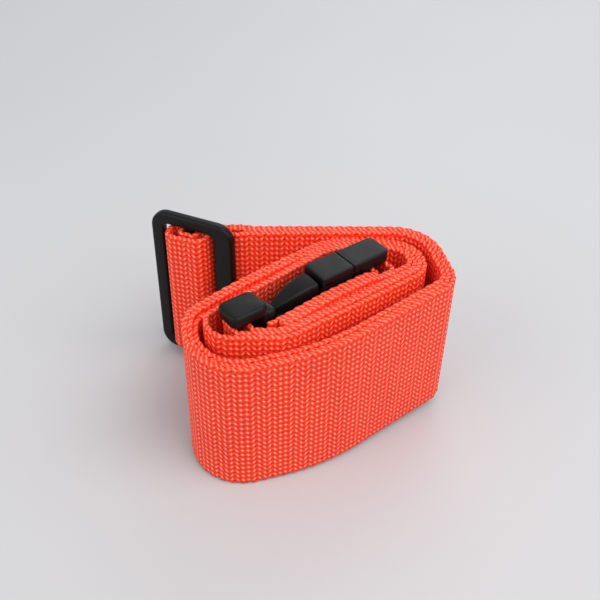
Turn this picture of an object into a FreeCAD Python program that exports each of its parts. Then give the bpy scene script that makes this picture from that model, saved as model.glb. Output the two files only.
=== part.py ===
import FreeCAD
import Part
import Sketcher
import math
import os

# A wound luggage strap standing on its edge.  World frame: origin on the table under
# the middle of the buckle's mouth, +X to the right, +Y to the back, +Z up.  Sizes in mm.

doc = FreeCAD.newDocument("LuggageStrap")
sheet = doc.addObject("Spreadsheet::Sheet", "Dimensions")

SIZES = [
    # Webbing
    ("web_width", 50.0),
    ("web_bottom", 5.0),
    ("near_face", -14.8),
    ("ply_thick", 1.5),
    ("ply_pitch", 1.6),
    # Buckle, shared by both halves
    ("buckle_turn", 38.0),
    ("buckle_mid", 0.6),
    ("buckle_thick", 10.0),
    ("buckle_width", 60.0),
    ("rail_high", 4.4),
    ("bar_long", 2.6),
    ("bar_thick", 3.0),
    ("cavity_thick", 6.6),
    ("edge_round", 1.2),
    # Receptacle stations along the buckle axis
    ("cap_left", -39.0),
    ("cap_right", -26.5),
    ("shoulder_left", -27.5),
    ("shoulder_right", -23.6),
    ("shoulder_thick", 6.0),
    ("shoulder_low", 53.2),
    ("shoulder_high", 4.2),
    ("rec_bar_left", -36.8),
    ("end_wall_left", -28.5),
    ("mouth_left", -6.0),
    ("mouth_right", 6.2),
    ("plate_margin", 15.0),
    ("mouth_wall", 3.5),
    # Plug stations along the buckle axis
    ("base_left", 6.5),
    ("base_right", 12.5),
    ("plug_bar_left", 16.0),
    ("plug_right", 21.4),
    ("guide_left", -20.0),
    ("guide_high", 12.0),
    ("guide_thick", 5.0),
    # Release arms
    ("arm_root_x", 4.0),
    ("arm_root_z", 50.0),
    ("arm_root_rad", 2.0),
    ("arm_thick", 5.2),
    ("ear_thick", 8.2),
    ("ear_low", 50.6),
    ("ear_tip", -25.0),
    ("ear_heel", -7.2),
    ("ear_top", 58.6),
    ("ear_tip_top", 52.5),
    # Slide
    ("slide_x", -46.2),
    ("slide_y", 25.9),
    ("slide_turn", -22.7),
    ("slide_wide", 31.0),
    ("slide_high", 60.0),
    ("slide_thick", 3.4),
    ("slide_corner", 6.0),
    ("slide_rail", 4.4),
    ("left_bar", 4.7),
    ("right_bar", 7.0),
    ("mid_bar", 3.6),
    ("mid_bar_thick", 2.4),
    ("mid_bar_x", -1.15),
    # Sewing
    ("thread_thick", 0.35),
    ("thread_wide", 0.6),
    ("thread_gap", 0.02),
    ("seam_low", 10.0),
    ("seam_high", 50.0),
    ("buckle_seam_left", -13.0),
    ("buckle_seam_right", 10.0),
    ("slide_seam_left", 3.4),
    ("slide_seam_right", 5.4),
    ("slide_tail", 4.4),
]

for row, (alias, value) in enumerate(SIZES, start=1):
    sheet.set("A%d" % row, alias)
    sheet.set("B%d" % row, str(value))
    sheet.setAlias("B%d" % row, alias)
doc.recompute()


def size(alias):
    return float(getattr(sheet, alias))


def vec(x, y, z=0.0):
    return FreeCAD.Vector(x, y, z)


def turned(x, y, angle, origin=(0.0, 0.0)):
    c = math.cos(math.radians(angle))
    s = math.sin(math.radians(angle))
    return (origin[0] + x * c - y * s, origin[1] + x * s + y * c)


# ---------------------------------------------------------------- webbing route
# A route is a list of corners (x, y, radius).  Every ply is the same route moved
# inwards, so its corners stay concentric.

def cross_point(p, d, q, e):
    det = d[0] * e[1] - d[1] * e[0]
    k = ((q[0] - p[0]) * e[1] - (q[1] - p[1]) * e[0]) / det
    return (p[0] + d[0] * k, p[1] + d[1] * k)


def unit(p, q):
    length = math.hypot(q[0] - p[0], q[1] - p[1])
    return ((q[0] - p[0]) / length, (q[1] - p[1]) / length)


def moved(route, shift):
    """The route moved to its right by shift; corner radii follow."""
    lines = []
    for p, q in zip(route, route[1:]):
        d = unit(p, q)
        lines.append(((p[0] + d[1] * shift, p[1] - d[0] * shift), d))
    result = [(lines[0][0][0], lines[0][0][1], 0.0)]
    for (p, d), (q, e), corner in zip(lines, lines[1:], route[1:-1]):
        x, y = cross_point(p, d, q, e)
        right_turn = d[0] * e[1] - d[1] * e[0] < 0
        radius = corner[2] - shift if right_turn else corner[2] + shift
        result.append((x, y, radius))
    d = lines[-1][1]
    last = route[-1]
    result.append((last[0] + d[1] * shift, last[1] - d[0] * shift, 0.0))
    return result


def edges_of(route):
    """Straight edges and tangent arcs along a route."""
    edges = []
    here = vec(route[0][0], route[0][1])
    for before, corner, after in zip(route, route[1:], route[2:]):
        d = unit(before, corner)
        e = unit(corner, after)
        half = math.acos(max(-1.0, min(1.0, d[0] * e[0] + d[1] * e[1]))) / 2
        reach = corner[2] * math.tan(half)
        start = vec(corner[0] - d[0] * reach, corner[1] - d[1] * reach)
        end = vec(corner[0] + e[0] * reach, corner[1] + e[1] * reach)
        bulge = corner[2] * (1 / math.cos(half) - 1)
        toward = vec(e[0] - d[0], e[1] - d[1])
        toward.normalize()
        middle = vec(corner[0], corner[1]) + toward * bulge
        edges.append(Part.makeLine(here, start))
        edges.append(Part.Arc(start, middle, end).toShape())
        here = end
    edges.append(Part.makeLine(here, vec(route[-1][0], route[-1][1])))
    return edges


def strip(route, thickness, bottom, height):
    """A band of even thickness standing along a route."""
    left = edges_of(moved(route, -thickness / 2))
    right = edges_of(moved(route, thickness / 2))
    start_cap = Part.makeLine(left[0].Vertexes[0].Point, right[0].Vertexes[0].Point)
    end_cap = Part.makeLine(left[-1].Vertexes[-1].Point, right[-1].Vertexes[-1].Point)
    wire = Part.Wire(Part.__sortEdges__(left + [end_cap] + right + [start_cap]))
    face = Part.Face(wire)
    face.translate(vec(0, 0, bottom))
    return face.extrude(vec(0, 0, height))


turn = size("buckle_turn")
pitch = size("ply_pitch")
thick = size("ply_thick")
slide_at = (size("slide_x"), size("slide_y"))
slide_turn = size("slide_turn")
NEAR = size("near_face")


def at_buckle(a, n, radius=0.0):
    return turned(a, n, turn) + (radius,)


def at_slide(s, t, radius=0.0):
    """s runs along the slide to the right, t towards the viewer."""
    return turned(s, -t, slide_turn, slide_at) + (radius,)


# Outer face of the coil, from the back run clockwise round to the inner left end.
OUTER = [
    (-18.9, 29.5, 0.0),
    (34.1, 28.6, 16.5),
    (42.2, 2.5, 9.0),
    (0.2, -30.1, 80.0),
    (-44.2, -43.8, 17.5),
    (-44.4, -15.0, 8.0),
    (-0.9, 23.4, 20.0),
    (29.8, 23.4, 12.0),
    at_buckle(29.8, NEAR, 9.0),
    at_buckle(-27.0, NEAR, 12.0),
    (-37.9, -29.7, 8.5),
]
# The single ply goes on inside: round the inner left end and behind the buckle.
inner = moved(OUTER[5:10], 3 * pitch + 0.1)
CORE = [(-37.9, -18.2, 4.5)] + inner[1:4] + [at_buckle(-24.0, NEAR + 3 * pitch + 0.1)]

far = size("buckle_mid") + size("bar_thick") / 2 + 0.35 + thick / 2
near_main = NEAR + 4 * pitch + 0.1 + thick / 2
near_tail = near_main + pitch

# Fixed end: round the middle bar of the slide, its tail lying on the main ply.
fixed_end = [
    at_slide(12.5, -4.4),
    at_slide(1.9, -4.4, 1.2),
    at_slide(1.9, 2.4, 1.5),
    at_slide(-4.2, 2.4, 1.5),
    at_slide(-4.2, -6.0, 1.5),
    at_slide(18.0, -6.0, 12.0),
]
# Out to the receptacle's bar, round it and back.
second_ply = moved(OUTER, thick / 2 + pitch)[1:10]
third_ply = moved(OUTER, thick / 2 + 2 * pitch)[1:10]
slot_in = cross_point(third_ply[-1], unit(OUTER[9], OUTER[10]), at_buckle(-33.1, 0), at_buckle(0, 1))
bar_out = cross_point(second_ply[-1], unit(OUTER[9], OUTER[10]), at_buckle(-37.9, 0), at_buckle(0, 1))
bar_loop = [
    (bar_out[0], bar_out[1], 1.6),
    at_buckle(-37.9, far, 1.5),
    at_buckle(-33.1, far, 1.5),
    (slot_in[0], slot_in[1], 1.6),
]
# Over the middle bar of the slide and back behind the frame.
over_slide = [
    at_slide(14.6, -2.8, 10.0),
    at_slide(6.9, -2.8, 1.6),
    at_slide(4.8, 4.6, 3.0),
    at_slide(-7.8, 5.8, 3.0),
    at_slide(-8.4, -7.6, 1.6),
    at_slide(17.8, -7.6, 12.0),
]
first_ply = moved(OUTER + CORE, thick / 2)[1:-1]
# Fold on the near side, round the plug's bar, tail back along the near side.
plug_end = [
    at_buckle(-24.6, NEAR + 3 * pitch + 0.1 + thick / 2, 0.79),
    at_buckle(-24.6, near_main, 0.79),
    at_buckle(20.7, near_main, 1.6),
    at_buckle(20.7, far, 1.5),
    at_buckle(14.9, far, 1.5),
    at_buckle(14.9, near_tail, 1.2),
    at_buckle(-28.0, near_tail, 0.0),
]
ROUTE = fixed_end + second_ply + bar_loop + third_ply[::-1] + over_slide + first_ply + plug_end

def lengths(whole, cuts):
    """The band as neighbouring lengths, parted by upright planes through (x, y) along (dx, dy)."""
    parts = [whole]
    for (x, y), (dx, dy) in cuts:
        halves = []
        for part in parts:
            for side in (-1, 1):
                half = Part.makeBox(400, 200, 100, vec(-200, 0 if side > 0 else -200, -20))
                half.rotate(vec(0, 0), vec(0, 0, 1), math.degrees(math.atan2(dy, dx)))
                half.translate(vec(x, y))
                halves.extend(part.common(half).Solids)
        parts = halves
    return parts


# One band; it is parted into lengths so that each one is a simple shape for contact.
band = strip(ROUTE, thick, size("web_bottom"), size("web_width"))
ACROSS = turned(0, 1, turn)
ALONG = turned(1, 0, turn)
cuts = [
    (turned(-22, 0, turn), ACROSS),
    (turned(10, 0, turn), ACROSS),
    (turned(0, 0, turn), ALONG),
    ((-30.0, 20.0), (0.0, 1.0)),
]
webbing = doc.addObject("Part::Feature", "webbing")
webbing.Shape = Part.makeCompound(lengths(band, cuts))
webbing.Label = "webbing"
strap_length = sum(edge.Length for edge in edges_of(ROUTE))
print("webbing length mm: %.0f" % strap_length)


# ---------------------------------------------------------------- solids by name

def box(name, x, y, z, long, wide, high):
    """A Part::Box whose sizes and corner are expressions."""
    part = doc.addObject("Part::Box", name)
    for prop, text in zip(("Length", "Width", "Height"), (long, wide, high)):
        part.setExpression(prop, text)
    for axis, text in zip("xyz", (x, y, z)):
        part.setExpression("Placement.Base." + axis, text)
    return part


def fuse(name, parts):
    result = doc.addObject("Part::MultiFuse", name)
    result.Shapes = parts
    return result


def cut(name, base, tool):
    result = doc.addObject("Part::Cut", name)
    result.Base = base
    result.Tool = tool
    return result


def place(part, label, x, y, angle):
    part.Label = label
    part.Placement = FreeCAD.Placement(
        vec(x, y, 0), FreeCAD.Rotation(vec(0, 0, 1), angle))


D = "Dimensions."
HALF_THICK = D + "buckle_mid - " + D + "buckle_thick / 2"
WIDTH = D + "buckle_width"


def rounded(name, body, edges, radius):
    doc.recompute()
    result = doc.addObject("Part::Fillet", name)
    result.Base = body
    picked = []
    for index, edge in enumerate(body.Shape.Edges, start=1):
        if edges(edge):
            picked.append((index, radius, radius))
    result.Edges = picked
    return result


def runs_along(edge, axis):
    if not isinstance(edge.Curve, Part.Line):
        return False
    d = edge.Curve.Direction
    return abs(abs(getattr(d, axis)) - 1) < 1e-6


# ---------------------------------------------------------------- receptacle
cap = box("RecCap", D + "cap_left", HALF_THICK, "0",
          D + "cap_right - " + D + "cap_left", D + "buckle_thick", WIDTH)
cap_round = rounded("RecCapRound", cap, lambda e: runs_along(e, "x") or runs_along(e, "z"), 2.4)
cap_window = box("RecCapWindow", D + "cap_left - 1", HALF_THICK + " - 1", D + "rail_high",
                 D + "end_wall_left - " + D + "cap_left + 1", D + "buckle_thick + 2",
                 WIDTH + " - 2 * " + D + "rail_high")
rec_end = cut("RecEnd", cap_round, cap_window)
rec_bar = box("RecBar", D + "rec_bar_left", D + "buckle_mid - " + D + "bar_thick / 2",
              D + "rail_high - 1", D + "bar_long", D + "bar_thick",
              WIDTH + " - 2 * " + D + "rail_high + 2")
shoulders = []
for name, bottom in (
        ("RecShoulderUpper", D + "shoulder_low"),
        ("RecShoulderLower", WIDTH + " - " + D + "shoulder_low - " + D + "shoulder_high")):
    shoulders.append(box(name, D + "shoulder_left", HALF_THICK, bottom,
                         D + "shoulder_right - " + D + "shoulder_left",
                         D + "shoulder_thick", D + "shoulder_high"))
rec_plates = box("RecPlates", D + "cap_right - 1", HALF_THICK, D + "plate_margin",
                 D + "mouth_left - " + D + "cap_right + 2", D + "buckle_thick",
                 WIDTH + " - 2 * " + D + "plate_margin")
mouth = box("RecMouth", D + "mouth_left", HALF_THICK, "0",
            D + "mouth_right - " + D + "mouth_left", D + "buckle_thick", WIDTH)
mouth_round = rounded("RecMouthRound", mouth, lambda e: runs_along(e, "x"), 2.4)
cavity = box("RecCavity", D + "cap_right", D + "buckle_mid - " + D + "cavity_thick / 2",
             D + "mouth_wall", D + "mouth_right - " + D + "cap_right + 1",
             D + "cavity_thick", WIDTH + " - 2 * " + D + "mouth_wall")
rec_blocks = fuse("RecBlocks", [rec_end, rec_bar, rec_plates, mouth_round] + shoulders)
receptacle = cut("receptacle", rec_blocks, cavity)
place(receptacle, "receptacle", 0, 0, turn)

# ---------------------------------------------------------------- plug body

def at_plug_end(edge):
    return runs_along(edge, "z") and edge.CenterOfMass.x > size("base_right")


base = box("PlugBase", D + "base_left", HALF_THICK, "0",
           D + "plug_right - " + D + "base_left", D + "buckle_thick", WIDTH)
base_round = rounded("PlugBaseRound", base, lambda e: runs_along(e, "x") or at_plug_end(e), 2.4)
base_window = box("PlugWindow", D + "base_right", HALF_THICK + " - 1", D + "rail_high",
                  D + "plug_right - " + D + "base_right + 1", D + "buckle_thick + 2",
                  WIDTH + " - 2 * " + D + "rail_high")
plug_block = cut("PlugBlock", base_round, base_window)
plug_bar = box("PlugBar", D + "plug_bar_left", D + "buckle_mid - " + D + "bar_thick / 2",
               D + "rail_high - 1", D + "bar_long", D + "bar_thick",
               WIDTH + " - 2 * " + D + "rail_high + 2")
guide = box("PlugGuide", D + "guide_left", D + "buckle_mid - " + D + "guide_thick / 2",
            WIDTH + " / 2 - " + D + "guide_high / 2",
            D + "base_left - " + D + "guide_left + 1", D + "guide_thick", D + "guide_high")
plug = fuse("plug_body", [plug_block, plug_bar, guide])
place(plug, "plug_body", 0, 0, turn)


# ---------------------------------------------------------------- release arms

def crown():
    """Arc over the back of the ear, from its tip to its heel."""
    tip = size("ear_tip")
    heel = size("ear_heel")
    top = size("ear_top")
    tip_top = size("ear_tip_top")
    middle = vec((tip + heel) / 2 - 2.0, (top + tip_top) / 2 + 1.4)
    return vec(tip, tip_top - 3.0), middle, vec(heel, top)


def beam_outline():
    """The whole arm, seen square to the flat of the buckle."""
    root = vec(size("arm_root_x"), size("arm_root_z"))
    rad = size("arm_root_rad")
    start, middle, end = crown()
    foot = vec(start.x + 3.0, root.y - rad - 2.0)
    under = vec(root.x, root.y - rad)
    over = vec(root.x, root.y + rad)
    notch = vec(end.x, over.y)
    return [
        Part.LineSegment(under, foot),
        Part.LineSegment(foot, start),
        Part.Arc(start, middle, end),
        Part.LineSegment(end, notch),
        Part.LineSegment(notch, over),
        Part.Arc(over, root + vec(rad, 0), under),
    ]


def ear_outline():
    """The thicker ear under the finger."""
    start, middle, end = crown()
    low = size("ear_low")
    arc = Part.Arc(start, middle, end)
    tip = arc.value(arc.FirstParameter + 0.25 * (arc.LastParameter - arc.FirstParameter))
    back = Part.Arc(tip, arc.value((arc.parameter(tip) + arc.LastParameter) / 2), end)
    heel = vec(end.x, low)
    under = vec(tip.x + 1.0, low + 0.6)
    return [
        back,
        Part.LineSegment(end, heel),
        Part.LineSegment(heel, under),
        Part.LineSegment(under, tip),
    ]


def plane_of(body, role):
    for feature in body.Origin.OriginFeatures:
        if feature.Role == role:
            return feature
    raise RuntimeError("no plane " + role)


def arm_pad(body, name, outline, thickness):
    sketch = body.newObject("Sketcher::SketchObject", name + "_outline")
    sketch.AttachmentSupport = [(plane_of(body, "XZ_Plane"), "")]
    sketch.MapMode = "FlatFace"
    for curve in outline:
        index = sketch.addGeometry(curve, False)
        sketch.addConstraint(Sketcher.Constraint("Block", index))
    pad = body.newObject("PartDesign::Pad", name)
    pad.Profile = sketch
    pad.Midplane = True
    pad.setExpression("Length", D + thickness)
    body.Tip = pad
    return pad


def release_arm(name, upper):
    body = doc.addObject("PartDesign::Body", name)
    arm_pad(body, name + "_beam", beam_outline(), "arm_thick")
    arm_pad(body, name + "_ear", ear_outline(), "ear_thick")
    x, y = turned(0, size("buckle_mid"), turn)
    place(body, name, x, y, turn)
    if not upper:
        flip = FreeCAD.Placement(vec(0, 0, size("buckle_width")), FreeCAD.Rotation(vec(1, 0, 0), 180))
        body.Placement = body.Placement.multiply(flip)
    return body


arm_upper = release_arm("release_arm_upper", True)
arm_lower = release_arm("release_arm_lower", False)

# ---------------------------------------------------------------- slide
slide = doc.addObject("PartDesign::Body", "slide")
frame = slide.newObject("Sketcher::SketchObject", "slide_frame")
frame.AttachmentSupport = [(plane_of(slide, "XZ_Plane"), "")]
frame.MapMode = "FlatFace"


def add_rectangle(sketch, left, right, low, high, names):
    """A closed rectangle held by four named distances from the origin."""
    corners = [vec(left, low), vec(right, low), vec(right, high), vec(left, high)]
    first = sketch.GeometryCount
    for index in range(4):
        sketch.addGeometry(Part.LineSegment(corners[index], corners[(index + 1) % 4]), False)
    for index in range(4):
        sketch.addConstraint(Sketcher.Constraint(
            "Coincident", first + index, 2, first + (index + 1) % 4, 1))
    for side in (0, 2):
        sketch.addConstraint(Sketcher.Constraint("Horizontal", first + side))
    for side in (1, 3):
        sketch.addConstraint(Sketcher.Constraint("Vertical", first + side))
    left_c = sketch.addConstraint(Sketcher.Constraint("DistanceX", -1, 1, first, 1, left))
    right_c = sketch.addConstraint(Sketcher.Constraint("DistanceX", -1, 1, first, 2, right))
    low_c = sketch.addConstraint(Sketcher.Constraint("DistanceY", -1, 1, first, 1, low))
    high_c = sketch.addConstraint(Sketcher.Constraint("DistanceY", -1, 1, first + 2, 1, high))
    for constraint, name in zip((left_c, right_c, low_c, high_c), names):
        if name:
            sketch.setExpression("Constraints[%d]" % constraint, name)


half = size("slide_wide") / 2
add_rectangle(frame, -half, half, 0.0, size("slide_high"),
              ("-" + D + "slide_wide / 2", D + "slide_wide / 2", "", D + "slide_high"))
plate = slide.newObject("PartDesign::Pad", "slide_plate")
plate.Profile = frame
plate.Midplane = True
plate.setExpression("Length", D + "slide_thick")
doc.recompute()
upright = []
for index, edge in enumerate(plate.Shape.Edges, start=1):
    if runs_along(edge, "y"):
        upright.append("Edge%d" % index)
corners = slide.newObject("PartDesign::Fillet", "slide_corners")
corners.Base = (plate, upright)
corners.setExpression("Radius", D + "slide_corner")
slots = slide.newObject("Sketcher::SketchObject", "slide_slots")
slots.AttachmentSupport = [(plane_of(slide, "XZ_Plane"), "")]
slots.MapMode = "FlatFace"
rail = size("slide_rail")
bar_x = size("mid_bar_x")
bar_half = size("mid_bar") / 2
MID_LEFT = D + "mid_bar_x - " + D + "mid_bar / 2"
MID_RIGHT = D + "mid_bar_x + " + D + "mid_bar / 2"
SLOT_TOP = D + "slide_high - " + D + "slide_rail"
add_rectangle(slots, -half + size("left_bar"), bar_x - bar_half, rail, size("slide_high") - rail,
              ("-" + D + "slide_wide / 2 + " + D + "left_bar", MID_LEFT, D + "slide_rail", SLOT_TOP))
add_rectangle(slots, bar_x + bar_half, half - size("right_bar"), rail, size("slide_high") - rail,
              (MID_RIGHT, D + "slide_wide / 2 - " + D + "right_bar", D + "slide_rail", SLOT_TOP))
opening = slide.newObject("PartDesign::Pocket", "slide_openings")
opening.Profile = slots
opening.Type = "ThroughAll"
opening.Midplane = True
slide.Tip = opening
doc.recompute()
thinned = []
relief = (size("slide_thick") - size("mid_bar_thick")) / 2
for side, start in (("front", -size("slide_thick") / 2), ("back", size("mid_bar_thick") / 2)):
    cutter = slide.newObject("PartDesign::SubtractiveBox", "mid_bar_relief_" + side)
    cutter.Length = size("mid_bar") + 0.4
    cutter.Width = relief
    cutter.Height = size("slide_high") - 2 * rail
    cutter.Placement = FreeCAD.Placement(
        vec(bar_x - bar_half - 0.2, start, rail), FreeCAD.Rotation())
    slide.Tip = cutter
place(slide, "slide", slide_at[0], slide_at[1], slide_turn)


# ---------------------------------------------------------------- sewing thread

def seam(name, left, right, face, turned_by, x, y):
    """A closed row of stitches: two upright rows joined by level rows."""
    low = D + "seam_low"
    tall = D + "seam_high - " + D + "seam_low"
    rows = []
    for index, start in enumerate((left, right + " - " + D + "thread_wide")):
        rows.append(box("%s_upright_%d" % (name, index), start, face, low,
                        D + "thread_wide", D + "thread_thick", tall))
    for index in range(3):
        level = "%s + (%s - %sthread_wide) * %d / 2" % (low, tall, D, index)
        rows.append(box("%s_level_%d" % (name, index), left, face, level,
                        right + " - " + left, D + "thread_thick", D + "thread_wide"))
    result = fuse(name, rows)
    place(result, name, x, y, turned_by)
    return result


BUCKLE_FACE = D + "near_face + 5 * " + D + "ply_pitch + 0.1 + " + D + "ply_thick + " + D + "thread_gap"
buckle_seam = seam("buckle_stitching", D + "buckle_seam_left", D + "buckle_seam_right",
                   BUCKLE_FACE, turn, 0, 0)
SLIDE_FACE = D + "slide_tail - " + D + "ply_thick / 2 - " + D + "thread_gap - " + D + "thread_thick"
slide_seam = seam("slide_stitching", D + "slide_seam_left", D + "slide_seam_right",
                  SLIDE_FACE, slide_turn, slide_at[0], slide_at[1])

# ---------------------------------------------------------------- export
NODES = {
    "webbing": webbing,
    "receptacle": receptacle,
    "plug_body": plug,
    "release_arm_upper": arm_upper,
    "release_arm_lower": arm_lower,
    "slide": slide,
    "buckle_stitching": buckle_seam,
    "slide_stitching": slide_seam,
}
doc.recompute()
for item in doc.Objects:
    state = item.State
    if "Invalid" in state or "Error" in state:
        raise RuntimeError(item.Name + " did not compute")
os.makedirs("parts", exist_ok=True)
for name, item in NODES.items():
    shape = item.Shape
    if shape.isNull() or not shape.isValid():
        raise RuntimeError(name + " has a bad shape")
    print("%s volume %.0f box %s" % (name, shape.Volume, shape.BoundBox))
    shape.exportStep("parts/" + name + ".step")
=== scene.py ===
import math

import bmesh
import bpy
from mathutils import Matrix, Vector


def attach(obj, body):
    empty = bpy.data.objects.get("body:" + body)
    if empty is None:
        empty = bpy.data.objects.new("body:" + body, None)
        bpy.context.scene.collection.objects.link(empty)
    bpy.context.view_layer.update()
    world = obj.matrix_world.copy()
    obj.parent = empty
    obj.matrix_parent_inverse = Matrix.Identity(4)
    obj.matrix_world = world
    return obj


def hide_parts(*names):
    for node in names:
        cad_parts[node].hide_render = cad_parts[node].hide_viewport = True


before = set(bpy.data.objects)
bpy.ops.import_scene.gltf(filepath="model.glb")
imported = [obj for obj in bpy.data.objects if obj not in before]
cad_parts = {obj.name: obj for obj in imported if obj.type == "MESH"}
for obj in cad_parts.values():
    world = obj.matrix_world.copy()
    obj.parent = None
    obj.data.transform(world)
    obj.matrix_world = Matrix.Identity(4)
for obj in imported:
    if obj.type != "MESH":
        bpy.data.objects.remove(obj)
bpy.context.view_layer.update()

# Lengths are in mm and angles in degrees. Only the table, the lights and the camera are
# placed in m. MM turns mm into m.
MM = 0.001

# ------------------------------------------------------------------ plan of the coil
# The route of the webbing is the one of the CAD part. A corner is x, y and the radius
# of the bend. On the buckle a point is given by its station a along the buckle and its
# offset n across it, on the slide by s along its width and t in front of it.
BUCKLE_TURN = 38.0
SLIDE_TURN = -22.7
SLIDE_AT = (-46.2, 25.9)
SLIDE_BACK = (0.386, 0.9225)   # direction that points out of the slide's back
PLY = 1.5                      # thickness of the webbing
PITCH = 1.6                    # from one ply to the next
NEAR = -14.8                   # offset of the outer face of the near bundle
MID = 0.6                      # offset of the buckle's middle plane
HALF = 5.0                     # half the thickness of the buckle
TALL = 60.0                    # height of the buckle and of the slide
BAR_HALF = 1.5                 # half the thickness of the buckle's two bars
BAR_GAP = 0.35                 # from a bar to the webbing behind it
NEAR_INSIDE = NEAR + 3 * PITCH + 0.1      # offset of the inner face of three near plies
RECEPTACLE_PASS = (-37.9, -33.1)          # stations of the webbing beside the bar
PLUG_PASS = (20.7, 14.9)
FOLD = -24.6                              # station of the fold before the plug
TAIL_END = -28.0
FIXED_BACK = 4.4                          # from the slide's middle back to the fixed end


def turned(x, y, angle, origin=(0.0, 0.0)):
    """The point turned about 0, 0 and then moved by origin."""
    c = math.cos(math.radians(angle))
    s = math.sin(math.radians(angle))
    return (origin[0] + x * c - y * s, origin[1] + x * s + y * c)


def at_buckle(a, n, radius=0.0):
    """Corner at a station and an offset of the buckle."""
    return turned(a, n, BUCKLE_TURN) + (radius,)


def at_slide(s, t, radius=0.0):
    """Corner at a place along the slide's width and in front of it."""
    return turned(s, -t, SLIDE_TURN, SLIDE_AT) + (radius,)


def unit(p, q):
    """Direction from p to q."""
    length = math.hypot(q[0] - p[0], q[1] - p[1])
    return ((q[0] - p[0]) / length, (q[1] - p[1]) / length)


def cross_point(p, d, q, e):
    """Where the line through p along d meets the line through q along e."""
    det = d[0] * e[1] - d[1] * e[0]
    k = ((q[0] - p[0]) * e[1] - (q[1] - p[1]) * e[0]) / det
    return (p[0] + d[0] * k, p[1] + d[1] * k)


def moved(route, shift):
    """The route moved to its right; corner radii follow."""
    lines = []
    for p, q in zip(route, route[1:]):
        d = unit(p, q)
        lines.append(((p[0] + d[1] * shift, p[1] - d[0] * shift), d))
    result = [(lines[0][0][0], lines[0][0][1], 0.0)]
    for (p, d), (q, e), corner in zip(lines, lines[1:], route[1:-1]):
        x, y = cross_point(p, d, q, e)
        right_turn = d[0] * e[1] - d[1] * e[0] < 0
        result.append((x, y, corner[2] - shift if right_turn else corner[2] + shift))
    d = lines[-1][1]
    result.append((route[-1][0] + d[1] * shift, route[-1][1] - d[0] * shift, 0.0))
    return result


OUTER = [
    (-18.9, 29.5, 0.0),
    (34.1, 28.6, 16.5),
    (42.2, 2.5, 9.0),
    (0.2, -30.1, 80.0),
    (-44.2, -43.8, 17.5),
    (-44.4, -15.0, 8.0),
    (-0.9, 23.4, 20.0),
    (29.8, 23.4, 12.0),
    at_buckle(29.8, NEAR, 9.0),
    at_buckle(-27.0, NEAR, 12.0),
    (-37.9, -29.7, 8.5),
]
OUTER_CORNERS = 5              # corners of a ply before it comes to the inner turn
inner = moved(OUTER[5:10], 3 * PITCH + 0.1)
CORE = [(-37.9, -18.2, 4.5)] + inner[1:4] + [at_buckle(-24.0, NEAR_INSIDE)]
far = MID + BAR_HALF + BAR_GAP + PLY / 2
near_fold = NEAR_INSIDE + PLY / 2
near_main = near_fold + PITCH
near_tail = near_main + PITCH

fixed_end = [
    at_slide(12.5, -FIXED_BACK),
    at_slide(1.9, -FIXED_BACK, 1.2),
    at_slide(1.9, 2.4, 1.5),
    at_slide(-4.2, 2.4, 1.5),
    at_slide(-4.2, -6.0, 1.5),
    at_slide(18.0, -6.0, 12.0),
]
second_ply = moved(OUTER, PLY / 2 + PITCH)[1:10]
third_ply = moved(OUTER, PLY / 2 + 2 * PITCH)[1:10]
leaving = unit(OUTER[9], OUTER[10])
across_buckle = at_buckle(0, 1)
out_at, in_at = RECEPTACLE_PASS
bar_out = cross_point(second_ply[-1], leaving, at_buckle(out_at, 0), across_buckle)
slot_in = cross_point(third_ply[-1], leaving, at_buckle(in_at, 0), across_buckle)
bar_loop = [
    (bar_out[0], bar_out[1], 1.6),
    at_buckle(out_at, far, 1.5),
    at_buckle(in_at, far, 1.5),
    (slot_in[0], slot_in[1], 1.6),
]
over_slide = [
    at_slide(14.6, -2.8, 10.0),
    at_slide(6.9, -2.8, 1.6),
    at_slide(4.8, 4.6, 3.0),
    at_slide(-7.8, 5.8, 3.0),
    at_slide(-8.4, -7.6, 1.6),
    at_slide(17.8, -7.6, 12.0),
]
first_ply = moved(OUTER + CORE, PLY / 2)[1:-1]
plug_end = [
    at_buckle(FOLD, near_fold, 0.79),
    at_buckle(FOLD, near_main, 0.79),
    at_buckle(PLUG_PASS[0], near_main, 1.6),
    at_buckle(PLUG_PASS[0], far, 1.5),
    at_buckle(PLUG_PASS[1], far, 1.5),
    at_buckle(PLUG_PASS[1], near_tail, 1.2),
    at_buckle(TAIL_END, near_tail, 0.0),
]
RUNS = [fixed_end, second_ply, bar_loop, third_ply[::-1], over_slide, first_ply, plug_end]
ROUTE = [corner for run in RUNS for corner in run]


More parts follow.
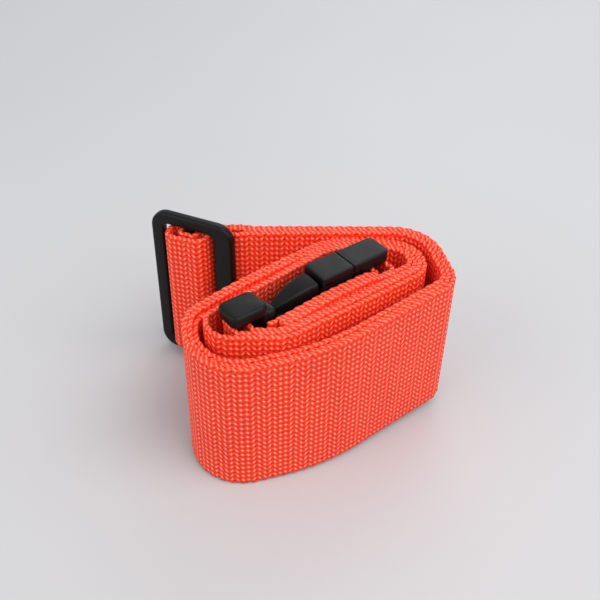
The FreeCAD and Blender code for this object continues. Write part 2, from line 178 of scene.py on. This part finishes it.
def centreline(route, step):
    """Even steps along the route, and its length.

    Each step is its point, its left normal, the length so far and the corner's number.
    """
    pieces = []
    here = Vector(route[0][:2])
    for index in range(1, len(route) - 1):
        before, corner, after = route[index - 1], route[index], route[index + 1]
        d = Vector(unit(before, corner))
        e = Vector(unit(corner, after))
        bend = -d.angle_signed(e)
        reach = corner[2] * math.tan(abs(bend) / 2)
        start = Vector(corner[:2]) - d * reach
        side = 1 if bend > 0 else -1
        pieces.append((here, d, (start - here).length, index, 0, 0.0))
        pieces.append((start, d, corner[2] * abs(bend), index, side, corner[2]))
        here = Vector(corner[:2]) + e * reach
    rest = Vector(route[-1][:2]) - here
    pieces.append((here, rest.normalized(), rest.length, len(route) - 1, 0, 0.0))
    total = sum(piece[2] for piece in pieces)
    count = int(round(total / step))
    result = []
    which = 0
    passed = 0.0
    for k in range(count + 1):
        s = total * k / count
        while which < len(pieces) - 1 and s > passed + pieces[which][2]:
            passed += pieces[which][2]
            which += 1
        start, d, _, index, side, radius = pieces[which]
        if side == 0:
            point = start + d * (s - passed)
        else:
            turn = Matrix.Rotation((s - passed) / radius * side, 2)
            centre = start + Vector((-d.y, d.x)) * side * radius
            point = centre + turn @ (start - centre)
            d = turn @ d
        result.append((point, Vector((-d.y, d.x)), s, index))
    return result, total


# ------------------------------------------------------------------ materials
class Nodes:
    """Writes the node tree of a material as expressions."""

    def __init__(self, name):
        self.material = bpy.data.materials.new(name)
        self.material.use_nodes = True
        self.tree = self.material.node_tree
        self.surface = self.tree.nodes["Principled BSDF"]

    def add(self, kind, **settings):
        node = self.tree.nodes.new(kind)
        for key, value in settings.items():
            setattr(node, key, value)
        return node

    def link(self, value, socket):
        if isinstance(value, (int, float, tuple)):
            socket.default_value = value
        else:
            self.tree.links.new(value, socket)

    def set(self, name, value):
        self.link(value, self.surface.inputs[name])

    def math(self, operation, *values):
        node = self.add("ShaderNodeMath", operation=operation)
        for value, socket in zip(values, node.inputs):
            self.link(value, socket)
        return node.outputs[0]

    def plus(self, one, two):
        return self.math("ADD", one, two)

    def minus(self, one, two):
        return self.math("SUBTRACT", one, two)

    def times(self, one, two):
        return self.math("MULTIPLY", one, two)

    def oval(self, x_square, y_square, x_share, y_share):
        """0 in the middle, growing outwards; 1 on the rim of an upright oval."""
        return self.plus(self.times(x_square, x_share), self.times(y_square, y_share))

    def mix(self, factor, one, two):
        node = self.add("ShaderNodeMix", data_type="RGBA")
        self.link(factor, node.inputs["Factor"])
        self.link(one, node.inputs[6])
        self.link(two, node.inputs[7])
        return node.outputs[2]

    def on_object(self):
        """Place on the object, in m."""
        return self.add("ShaderNodeTexCoord").outputs["Object"]

    def noise(self, scale, detail=2.0):
        node = self.add("ShaderNodeTexNoise")
        self.link(scale, node.inputs["Scale"])
        self.link(detail, node.inputs["Detail"])
        self.link(self.on_object(), node.inputs["Vector"])
        return node.outputs["Fac"]

    def range(self, value, low, high, out_low, out_high):
        node = self.add("ShaderNodeMapRange", clamp=True)
        for item, socket in zip((value, low, high, out_low, out_high), node.inputs):
            self.link(item, socket)
        return node.outputs["Result"]

    def bump(self, height, strength, distance):
        node = self.add("ShaderNodeBump")
        self.link(strength, node.inputs["Strength"])
        self.link(distance, node.inputs["Distance"])
        self.link(height, node.inputs["Height"])
        return node.outputs["Normal"]


COLUMN = 1.7         # width of a column of the weave, along the webbing
ROW = 2.0            # height of a row of loops, across the webbing
REPEAT = 7.0         # columns in one set; within it every third one leans backward
STRIP_MIDDLE = 30.0  # place of the webbing's middle on its flat map, across
FACE_HALF = 24.3     # half the width of the flat face; outside it is the toothed edge


def woven_material():
    """Columns of slanting loops in sets of seven, with a painted highlight dash on every loop.
    """
    m = Nodes("webbing_weave")
    flat_map = m.add("ShaderNodeUVMap", uv_map="strip")
    split = m.add("ShaderNodeSeparateXYZ")
    m.link(flat_map.outputs["UV"], split.inputs[0])
    along = split.outputs["X"]
    across = split.outputs["Y"]

    # Place in the column and in the loop, each from -0.5 to 0.5.
    column = m.math("DIVIDE", along, COLUMN * MM)
    x = m.minus(m.math("FRACT", column), 0.5)
    place = m.math("FLOORED_MODULO", m.math("FLOOR", column), REPEAT)
    leans_back = m.math("COMPARE", m.math("FLOORED_MODULO", place, 3.0), 1.0, 0.1)
    is_steep = m.math("LESS_THAN", place, 4.5)
    direction = m.minus(m.times(leans_back, 2.0), 1.0)
    lean = m.times(direction, m.plus(m.times(is_steep, 0.45), 0.25))
    wander = m.times(m.noise(260.0, 1.0), 0.25)
    row = m.plus(m.math("DIVIDE", across, ROW * MM), m.plus(wander, m.times(lean, x)))
    y = m.minus(m.math("FRACT", row), 0.5)
    x_square = m.times(x, x)
    y_square = m.times(y, y)

    # The raised loop, the painted highlight dash on it and the painted shade in the wedge
    # between four loops.
    loop = m.math("MAXIMUM", m.minus(1.0, m.oval(x_square, y_square, 3.2, 3.6)), 0.0)
    highlight_dash = m.minus(1.0, m.oval(x_square, y_square, 11.0, 17.0))
    corner_x = m.minus(m.math("ABSOLUTE", m.minus(x, 0.05)), 0.45)
    corner_y = m.minus(m.math("ABSOLUTE", y), 0.5)
    corner_square_x = m.times(corner_x, corner_x)
    corner_square_y = m.times(corner_y, corner_y)
    corner = m.oval(corner_square_x, corner_square_y, 14.0, 26.0)
    shade_wedge = m.range(corner, 0.15, 1.0, 1.0, 0.0)

    # The darkest red is painted shade; it also tints darker patches at random.
    shade_and_patch_red = (0.46, 0.006, 0.002, 1.0)
    body = (1.0, 0.050, 0.013, 1.0)
    # Pale pink for the painted highlight.
    highlight_pink = (1.0, 0.40, 0.27, 1.0)
    fibres = m.noise(5200.0)
    patches = m.noise(90.0)
    on_face = m.math("COMPARE", across, STRIP_MIDDLE * MM, FACE_HALF * MM)
    highlight_strength = m.plus(0.45, m.times(on_face, 0.45))
    # Painted highlight: a pale pink dash on each loop, stronger on the flat face than on the
    # toothed edge.
    tone = m.mix(m.times(m.range(highlight_dash, 0.0, 0.8, 0.0, 1.0), highlight_strength), body, highlight_pink)
    # Painted shade in the wedge between four loops.
    tone = m.mix(m.times(shade_wedge, 0.9), tone, shade_and_patch_red)
    # Darker patches at random.
    tone = m.mix(m.range(patches, 0.35, 0.75, 0.0, 0.16), tone, shade_and_patch_red)
    m.set("Base Color", tone)
    m.set("Roughness", m.range(fibres, 0.3, 0.7, 0.42, 0.62))
    m.set("Specular IOR Level", 0.28)
    m.set("Normal", m.bump(m.plus(loop, m.times(fibres, 0.22)), 1.0, 0.19 * MM))
    return m.material


def plastic_material():
    """Black moulded plastic with a fine grain."""
    m = Nodes("moulded_black")
    grain = m.noise(4200.0)
    cloud = m.noise(160.0, 3.0)
    black = (0.0035, 0.0033, 0.0033, 1.0)
    paler = (0.0065, 0.0062, 0.0062, 1.0)
    m.set("Base Color", m.mix(cloud, black, paler))
    m.set("Roughness", m.range(cloud, 0.3, 0.7, 0.34, 0.46))
    m.set("Specular IOR Level", 0.18)
    m.set("Normal", m.bump(grain, 0.35, 0.05 * MM))
    return m.material


def thread_material():
    """Red thread with a slanting twist."""
    m = Nodes("sewing_thread")
    twist = m.add("ShaderNodeTexWave", wave_type="BANDS", bands_direction="DIAGONAL")
    m.link(900.0, twist.inputs["Scale"])
    m.link(m.on_object(), twist.inputs["Vector"])
    strand = twist.outputs["Fac"]
    m.set("Base Color", m.mix(strand, (0.55, 0.02, 0.008, 1.0), (1.0, 0.11, 0.045, 1.0)))
    m.set("Roughness", 0.5)
    m.set("Normal", m.bump(strand, 0.6, 0.06 * MM))
    return m.material


def floor_material():
    """Pale, nearly even table top."""
    m = Nodes("pale_table")
    soft = m.noise(6.0)
    m.set("Base Color", m.mix(soft, (0.515, 0.515, 0.525, 1.0), (0.545, 0.545, 0.555, 1.0)))
    m.set("Roughness", 0.55)
    m.set("Specular IOR Level", 0.3)
    return m.material


WOVEN = woven_material()
PLASTIC = plastic_material()
THREAD = thread_material()
FLOOR = floor_material()


def add_object(name, data):
    obj = bpy.data.objects.new(name, data)
    bpy.context.scene.collection.objects.link(obj)
    return obj


def mesh_object(name, vertices, faces, material):
    mesh = bpy.data.meshes.new(name)
    mesh.from_pydata(vertices, [], faces)
    mesh.validate()
    mesh.materials.append(material)
    mesh.shade_smooth()
    return add_object(name, mesh)


def tube_faces(base, rings, size):
    """Quads between neighbouring rings of vertices, without the two ends."""
    faces = []
    for r in range(rings - 1):
        for j in range(size):
            a = base + r * size + j
            b = base + r * size + (j + 1) % size
            faces.append((a, b, b + size, a + size))
    return faces


# ------------------------------------------------------------------ webbing
STEP = 0.4            # from one cross-section of the webbing to the next
BLEND = 60            # steps on each side over which the height changes
HALF_WIDTH = 25.0
SCALLOP = 3.4         # length of one loop of the toothed edge
FREE_HEIGHT = 3.37    # lower edge of the outer turn above the table, at y = LEVEL_Y
FREE_SLOPE = 0.0934   # its climb towards the back
LEVEL_Y = -1.6
HELD_HEIGHT = 4.85    # lower edge of the band in the slide
INNER_HEIGHT = 5.1    # lower edge of the inner turn
TAIL_RISE = 1.6       # the sewn tail's extra height between the buckle's frames
LEAST_HEIGHT = 0.15
LEVELS = (-23.9, -20.0, -12.0, -4.0, 4.0, 12.0, 20.0, 23.9)
RIM = ((1.0, 24.5), (0.72, 24.86), (0.0, 25.0), (-0.72, 24.86), (-1.0, 24.5))
SECTION_SIZE = 2 * len(LEVELS) + 2 * len(RIM)


def ease(t):
    """Smooth step from 0 to 1."""
    t = max(0.0, min(1.0, t))
    return t * t * (3 - 2 * t)


def near_slide(x, y):
    """1 where the band runs in the slide, 0 away from it."""
    return ease((-27.0 - x) / 13.0) * ease(y / 15.0)


def sag(x, y):
    """Height of the outer turn's lower edge above the table.

    It climbs towards the back. In the slide it is level, and it drops behind it.
    """
    free = FREE_HEIGHT + FREE_SLOPE * (y - LEVEL_Y) + ease((y - 5.0) / 20.0)
    behind = (x - SLIDE_AT[0]) * SLIDE_BACK[0] + (y - SLIDE_AT[1]) * SLIDE_BACK[1]
    held = HELD_HEIGHT - ease((behind - 2.5) / 4.0)
    share = near_slide(x, y)
    return free * (1 - share) + held * share


def lower_edge(x, y, s, inner, tail):
    """Height of the webbing's lower edge; inner and tail are shares of 0 to 1."""
    wander = 0.30 * math.sin(s * 0.021) + 0.15 * math.sin(s * 0.053 + 1.7)
    wander *= 1 - 0.9 * near_slide(x, y)
    station = turned(x, y, -BUCKLE_TURN)[0]
    rise = TAIL_RISE * tail * ease((station + 26.0) / 24.0) * ease((16.0 - station) / 7.0)
    height = sag(x, y) * (1 - inner) + INNER_HEIGHT * inner + rise
    return max(LEAST_HEIGHT, height + wander)


def cross_section(s):
    """Outline of the webbing at length s, once round.

    Each point is its offset to the left, its height from the middle, its height on the
    flat map, and how far it is moved along the map there.
    """
    half = PITCH / 2
    lobe = abs(math.sin(math.pi * s / SCALLOP))
    tooth = 0.26 * lobe ** 0.8 - 0.10
    lean = 0.16 * math.sin(2 * math.pi * s / SCALLOP)
    thin = 0.88 + 0.12 * lobe
    left = [(half, v, v, 0.0) for v in LEVELS]
    upper = [(half * n * thin + lean, v + tooth, v, 0.55 * n) for n, v in RIM]
    right = [(-half, v, v, 0.0) for v in reversed(LEVELS)]
    lower = [(-half * n * thin - lean, -(v + tooth), -v, -0.55 * n) for n, v in RIM]
    return left + upper + right + lower


def smoothed(values, reach):
    """The mean of each value and its neighbours, up to reach on each side."""
    running = [0.0]
    for value in values:
        running.append(running[-1] + value)
    result = []
    for k in range(len(values)):
        low = max(0, k - reach)
        high = min(len(values), k + reach)
        result.append((running[high] - running[low]) / (high - low))
    return result


def ply_shares(count):
    """For each corner of a ply, 0 on the outer turn and 1 on the inner one."""
    return [0.0] * OUTER_CORNERS + [1.0] * (count - OUTER_CORNERS)


def build_webbing():
    """The webbing as one closed strip along the route, and its length."""
    inner_shares = [0.0] * len(fixed_end) + ply_shares(len(second_ply))
    inner_shares += [1.0] * len(bar_loop) + ply_shares(len(third_ply))[::-1]
    inner_shares += [0.0] * len(over_slide) + ply_shares(len(first_ply))
    inner_shares += [1.0] * len(plug_end)
    tail_start = len(ROUTE) - len(plug_end)
    line, total = centreline(ROUTE, STEP)
    inner_of = smoothed([inner_shares[index] for _, _, _, index in line], BLEND)
    tail_of = smoothed([float(index >= tail_start) for _, _, _, index in line], BLEND)
    vertices = []
    on_map = []
    for (point, normal, s, _), inner, tail in zip(line, inner_of, tail_of):
        centre = HALF_WIDTH + lower_edge(point.x, point.y, s, ease(inner), ease(tail))
        for n, v, flat, skew in cross_section(s):
            x = point.x + normal.x * n
            y = point.y + normal.y * n
            vertices.append((x * MM, y * MM, (centre + v) * MM))
            on_map.append(((s + skew) * MM, (STRIP_MIDDLE + flat) * MM))
    faces = tube_faces(0, len(line), SECTION_SIZE)
    faces.append(tuple(reversed(range(SECTION_SIZE))))
    faces.append(tuple(range(len(vertices) - SECTION_SIZE, len(vertices))))
    obj = mesh_object("webbing_strip", vertices, faces, WOVEN)
    layer = obj.data.uv_layers.new(name="strip")
    corners = [0] * len(obj.data.loops)
    obj.data.loops.foreach_get("vertex_index", corners)
    layer.data.foreach_set("uv", [value for vertex in corners for value in on_map[vertex]])
    return obj, total


webbing, strap_length = build_webbing()
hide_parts("webbing")
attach(webbing, "coil")


# ------------------------------------------------------------------ moulded parts
ROUND_STEPS = 5                            # steps of a rounded edge
DOME_RINGS = ((0.72, 0.28), (0.396, 0.6))  # size and rise of the rings on a domed top


def outline_rect(x0, x1, y0, y1, radius, steps=6):
    """Rounded rectangle, anticlockwise."""
    points = []
    corners = ((x1 - radius, y1 - radius, 0), (x0 + radius, y1 - radius, 90),
               (x0 + radius, y0 + radius, 180), (x1 - radius, y0 + radius, 270))
    for cx, cy, start in corners:
        for k in range(steps + 1):
            angle = math.radians(start + 90 * k / steps)
            points.append((cx + radius * math.cos(angle), cy + radius * math.sin(angle)))
    return points


def pillow(parts, x0, x1, y0, y1, z0, z1, corner, edge, dome=0.0):
    """A block rounded in plan by corner and at the bottom and top by edge.

    Its vertices and faces are added to parts. The dome raises the middle of the top.
    """
    vertices, faces = parts
    base = len(vertices)
    angles = [math.pi / 2 * k / ROUND_STEPS for k in range(ROUND_STEPS + 1)]
    rings = [(edge * (1 - math.sin(t)), z0 + edge * (1 - math.cos(t))) for t in angles]
    rings += [(edge * (1 - math.cos(t)), z1 - edge * (1 - math.sin(t))) for t in angles]
    for inset, z in rings:
        radius = max(0.05, corner - inset)
        ring = outline_rect(x0 + inset, x1 - inset, y0 + inset, y1 - inset, radius)
        vertices.extend((x, y, z) for x, y in ring)
    mid_x = (x0 + x1) / 2
    mid_y = (y0 + y1) / 2
    for size, rise in DOME_RINGS:
        for x, y in ring:
            x_here = mid_x + (x - mid_x) * size
            y_here = mid_y + (y - mid_y) * size
            vertices.append((x_here, y_here, z1 + dome * rise))
    count = len(ring)
    faces.extend(tube_faces(base, len(rings) + len(DOME_RINGS), count))
    faces.append(tuple(range(len(vertices) - count, len(vertices))))
    faces.append(tuple(reversed(range(base, base + count))))


def pillows(*blocks):
    """Vertices and faces of several pillows."""
    parts = ([], [])
    for block in blocks:
        pillow(parts, *block)
    return parts


def finish_moulding(name, parts, body, node):
    """The piece, turned from the buckle's own directions to its place in the coil."""
    vertices, faces = parts
    place = Matrix.Rotation(math.radians(BUCKLE_TURN), 4, "Z")
    world = []
    for vertex in vertices:
        p = place @ Vector(vertex)
        world.append((p.x * MM, p.y * MM, p.z * MM))
    obj = mesh_object(name, world, faces, PLASTIC)
    clean = bmesh.new()
    clean.from_mesh(obj.data)
    bmesh.ops.recalc_face_normals(clean, faces=clean.faces)
    clean.to_mesh(obj.data)
    clean.free()
    obj.data.set_sharp_from_angle(angle=math.radians(40))
    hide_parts(node)
    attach(obj, body)


# A block is its two stations, two offsets and two heights, then corner, edge and dome.
near, rear = MID - HALF, MID + HALF
bar_near, bar_rear = MID - BAR_HALF, MID + BAR_HALF
UPPER = (55.6, TALL)       # heights of the frames' upper and lower beams
LOWER = (0.0, 4.4)
POST = (2.5, 57.5)         # heights of the bars and posts between the beams
PLATE = 1.7                # thickness of the receptacle's two plates
CAP = (-39.0, -26.5)       # stations of the receptacle's end piece
SHOULDER = (-27.6, -23.6)
SHELL = (-27.5, -5.0)      # the plates where they are narrow, between the two ears
MOUTH = (-6.0, 6.2)

receptacle = pillows(
    (*CAP, near, rear, *UPPER, 2.4, 1.2, 0.25),
    (*CAP, near, rear, *LOWER, 2.4, 1.1),
    (*SHOULDER, near, MID + 1.0, 53.2, 57.4, 1.4, 1.2, 0.3),
    (*SHOULDER, near, MID + 1.0, 2.6, 6.8, 1.4, 1.2),
    (-36.8, -34.2, bar_near, bar_rear, *POST, 1.2, 0.5),
    (-28.5, -26.5, near, rear, *POST, 0.8, 0.5),
    (*SHELL, near, near + PLATE, 15.0, 45.0, 0.3, 0.3),
    (*SHELL, rear - PLATE, rear, 15.0, 45.0, 0.3, 0.3),
    (-6.0, 6.35, near, rear, 56.5, TALL, 0.6, 0.5, 0.1),
    (*MOUTH, near, rear, 0.0, 3.5, 0.9, 0.8),
    (*MOUTH, near, near + PLATE, 1.5, 58.8, 0.4, 0.4),
    (*MOUTH, rear - PLATE, rear, 1.5, 58.8, 0.4, 0.4),
)
finish_moulding("receptacle_shell", receptacle, "coil", "receptacle")

# The last block is the tongue that guides the plug in the receptacle.
plug = pillows(
    (6.45, 9.5, near, rear, *UPPER, 0.4, 0.35),
    (6.6, 21.4, near, rear, *UPPER, 2.2, 0.7, 0.05),
    (6.5, 21.4, near, rear, *LOWER, 2.2, 0.9),
    (6.5, 12.5, near, rear, *POST, 0.6, 0.5),
    (16.0, 18.6, bar_near, bar_rear, *POST, 1.2, 0.5),
    (-20.0, 7.5, MID - 2.5, MID + 2.5, 24.0, 36.0, 1.0, 0.6),
)
finish_moulding("plug_shell", plug, "plug", "plug_body")

EAR_ROOT = -7.2      # station where the ear leaves the mouth
EAR_LENGTH = 17.8
EAR_STEPS = 22
EAR_SIDES = 28
EAR_BLUNT = 0.34     # power that turns an oval section into a nearly square one
BEAM = (-22.0, 5.5, MID - 2.6, MID + 2.6, 46.4, 51.6, 1.2, 0.6)


def ear_section(a):
    """Half thickness, lowest and highest level of the ear at a station."""
    t = (EAR_ROOT - a) / EAR_LENGTH
    half = 4.1 * max(0.04, 1 - t ** 2.1) ** 0.7 * (1 - 0.22 * t)
    return half, 49.4 + 0.6 * t, 58.6 - 6.0 * t ** 1.75


def blunted(share):
    return math.copysign(abs(share) ** EAR_BLUNT, share)


def build_arm(name, body, node, mirror):
    """Beam inside the shell and the leaf-shaped ear the finger presses."""
    vertices = []
    for k in range(EAR_STEPS + 1):
        a = EAR_ROOT - EAR_LENGTH * (1 - math.cos(math.pi / 2 * k / EAR_STEPS))
        half, low, top = ear_section(a)
        grow = 0.93 if k == 0 else 1.0
        for j in range(EAR_SIDES):
            angle = 2 * math.pi * j / EAR_SIDES
            n = MID + blunted(math.cos(angle)) * half * grow
            z = (top + low) / 2 + blunted(math.sin(angle)) * (top - low) / 2 * grow
            vertices.append((a, n, z))
    faces = tube_faces(0, EAR_STEPS + 1, EAR_SIDES)
    faces.append(tuple(range(EAR_SIDES)))
    faces.append(tuple(reversed(range(len(vertices) - EAR_SIDES, len(vertices)))))
    pillow((vertices, faces), *BEAM)
    if mirror:
        vertices = [(x, y, TALL - z) for x, y, z in vertices]
    finish_moulding(name, (vertices, faces), body, node)


build_arm("release_ear_upper", "arm_upper", "release_arm_upper", False)
build_arm("release_ear_lower", "arm_lower", "release_arm_lower", True)


# ------------------------------------------------------------------ slide
SLIDE_HALF = 1.7     # half the thickness of the slide
SLIDE_EDGE = 1.0     # rounding of its edges
# Outlines of the slide and its window: sides, bottom, top, corner radius, steps.
SLIDE_OUTLINES = ((-15.5, 15.5, 0.0, TALL, 6.0, 10), (-10.8, 8.5, 4.4, 55.6, 2.0, 5))
SLIDE_BAR = (-2.95, 0.65, -1.2, 1.2, 3.0, 57.0, 0.9, 0.4)


def slide_frame_mesh():
    """The frame around the window as a mesh with rounded edges, in place."""
    curve = bpy.data.curves.new("slide_outline", "CURVE")
    curve.dimensions = "2D"
    curve.fill_mode = "BOTH"
    curve.bevel_depth = SLIDE_EDGE * MM
    curve.bevel_resolution = 4
    curve.offset = -SLIDE_EDGE * MM
    curve.extrude = (SLIDE_HALF - SLIDE_EDGE) * MM
    for outline in SLIDE_OUTLINES:
        points = outline_rect(*outline)
        spline = curve.splines.new("POLY")
        spline.points.add(len(points) - 1)
        for target, (x, y) in zip(spline.points, points):
            target.co = (x * MM, y * MM, 0, 1)
        spline.use_cyclic_u = True
    holder = add_object("slide_holder", curve)
    bpy.context.view_layer.update()
    shown = holder.evaluated_get(bpy.context.evaluated_depsgraph_get())
    mesh = bpy.data.meshes.new_from_object(shown)
    bpy.data.objects.remove(holder)
    upright = Matrix.Rotation(math.pi / 2, 4, "X")
    stand = Matrix.Rotation(math.radians(SLIDE_TURN), 4, "Z") @ upright
    stand.translation = Vector((SLIDE_AT[0] * MM, SLIDE_AT[1] * MM, 0))
    mesh.transform(stand)
    return mesh


def build_slide():
    """The frame and its middle bar as one mesh."""
    mesh = slide_frame_mesh()
    bar_vertices, bar_faces = pillows(SLIDE_BAR)
    place = Matrix.Rotation(math.radians(SLIDE_TURN), 4, "Z")
    place.translation = Vector((SLIDE_AT[0], SLIDE_AT[1], 0))
    merged = bmesh.new()
    merged.from_mesh(mesh)
    bmesh.ops.remove_doubles(merged, verts=merged.verts, dist=1e-6)
    made = [merged.verts.new((place @ Vector(vertex)) * MM) for vertex in bar_vertices]
    for face in bar_faces:
        merged.faces.new([made[i] for i in face])
    bmesh.ops.recalc_face_normals(merged, faces=merged.faces)
    merged.to_mesh(mesh)
    merged.free()
    mesh.materials.clear()
    mesh.materials.append(PLASTIC)
    mesh.shade_smooth()
    mesh.set_sharp_from_angle(angle=math.radians(35))
    obj = add_object("slide_frame", mesh)
    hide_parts("slide")
    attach(obj, "slide")


build_slide()


# ------------------------------------------------------------------ stitches
STITCH = 2.8                                    # least length of a stitch with its gap
STITCH_RINGS = (0.0, 0.12, 0.35, 0.65, 0.88, 1.0)
STITCH_SIDES = 8
THREAD_RADIUS = 0.27
END_SHARE = 0.35                                # radius of a stitch's ends
ARCH = 0.12                                     # height of its arch over the cloth
STANDOFF = 0.22                                 # from the webbing's face out to the row


def stitch_vertices(a, b, out_sign):
    """Rings of an arched stitch from a to b on the side of the cloth given by the sign."""
    result = []
    out = Vector((0, 1, 0))
    side = (b - a).normalized().cross(out)
    for t in STITCH_RINGS:
        radius = THREAD_RADIUS * (END_SHARE if t in (0.0, 1.0) else 1.0)
        centre = a.lerp(b, t)
        lift = ARCH * math.sin(math.pi * t)
        for q in range(STITCH_SIDES):
            angle = 2 * math.pi * q / STITCH_SIDES
            height = math.sin(angle) * radius + lift
            result.append(centre + side * math.cos(angle) * radius + out * height * out_sign)
    return result


def build_seam(name, node, rows, turn, origin, out_sign):
    """Short round stitches end to end along each row."""
    vertices = []
    faces = []
    for start, end in rows:
        start = Vector(start)
        run = Vector(end) - start
        count = max(1, int(run.length / STITCH))
        for k in range(count):
            a = start + run * (k + 0.06) / count
            b = start + run * (k + 0.94) / count
            base = len(vertices)
            for p in stitch_vertices(a, b, out_sign):
                x, y = turned(p.x, p.y, turn, origin)
                vertices.append((x * MM, y * MM, p.z * MM))
            faces.extend(tube_faces(base, len(STITCH_RINGS), STITCH_SIDES))
            faces.append(tuple(reversed(range(base, base + STITCH_SIDES))))
            faces.append(tuple(range(len(vertices) - STITCH_SIDES, len(vertices))))
    obj = mesh_object(name, vertices, faces, THREAD)
    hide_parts(node)
    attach(obj, "coil")


def seam_rows(left, right, face):
    """A box of four rows with a fifth across its middle."""
    bottom, middle, top = 10.0, 30.0, 50.0
    rows = [((x, face, bottom), (x, face, top)) for x in (left, right)]
    rows += [((left, face, z), (right, face, z)) for z in (bottom, middle, top)]
    return rows


build_seam("buckle_seam", "buckle_stitching",
           seam_rows(-13.0, 10.0, near_tail + PLY / 2 + STANDOFF), BUCKLE_TURN, (0.0, 0.0), 1.0)
build_seam("slide_seam", "slide_stitching",
           seam_rows(3.6, 5.2, FIXED_BACK - PLY / 2 - STANDOFF), SLIDE_TURN, SLIDE_AT, -1.0)

# ------------------------------------------------------------------ table, light, camera
REACH = 4                      # half the side of the table
LOOK_AT = Vector((0, 0, 0.03))
CAMERA_AT = (-0.0092, -0.2137, 0.2175)
CAMERA_DOWN = 38.69            # angle of the view below the horizon
CAMERA_ROLL = 1.24

table_mesh = bpy.data.meshes.new("table")
table_corners = [(-REACH, -REACH, 0), (REACH, -REACH, 0), (REACH, REACH, 0), (-REACH, REACH, 0)]
table_mesh.from_pydata(table_corners, [], [(0, 1, 2, 3)])
table_mesh.materials.append(FLOOR)
table = add_object("table", table_mesh)


def area_light(name, place, size, power, colour):
    """Round lamp turned to the middle of the coil."""
    data = bpy.data.lights.new(name, "AREA")
    data.shape = "DISK"
    data.size = size
    data.energy = power
    data.color = colour
    obj = add_object(name, data)
    obj.location = place
    obj.rotation_euler = (LOOK_AT - Vector(place)).to_track_quat("-Z", "Y").to_euler()


area_light("key", (0.55, -0.38, 0.85), 1.1, 8.6, (1.0, 0.99, 0.98))
area_light("left", (-0.75, -0.45, 0.5), 0.9, 3.2, (1.0, 0.99, 0.98))
area_light("back", (0.2, 0.8, 0.6), 0.7, 2.0, (0.97, 0.985, 1.0))
world = bpy.data.worlds.new("studio")
world.use_nodes = True
background = world.node_tree.nodes["Background"]
background.inputs["Color"].default_value = (0.95, 0.97, 1.0, 1.0)
background.inputs["Strength"].default_value = 0.66
bpy.context.scene.world = world
bpy.context.scene.view_settings.view_transform = "Standard"

camera_data = bpy.data.cameras.new("view")
camera_data.lens = 50.95
camera_data.sensor_width = 36.0
camera_data.clip_start = 0.01
camera = add_object("view", camera_data)
tilt = Matrix.Rotation(math.radians(90 - CAMERA_DOWN), 4, "X")
roll = Matrix.Rotation(math.radians(CAMERA_ROLL), 4, "Z")
camera.matrix_world = Matrix.Translation(CAMERA_AT) @ (tilt @ roll)
bpy.context.scene.camera = camera
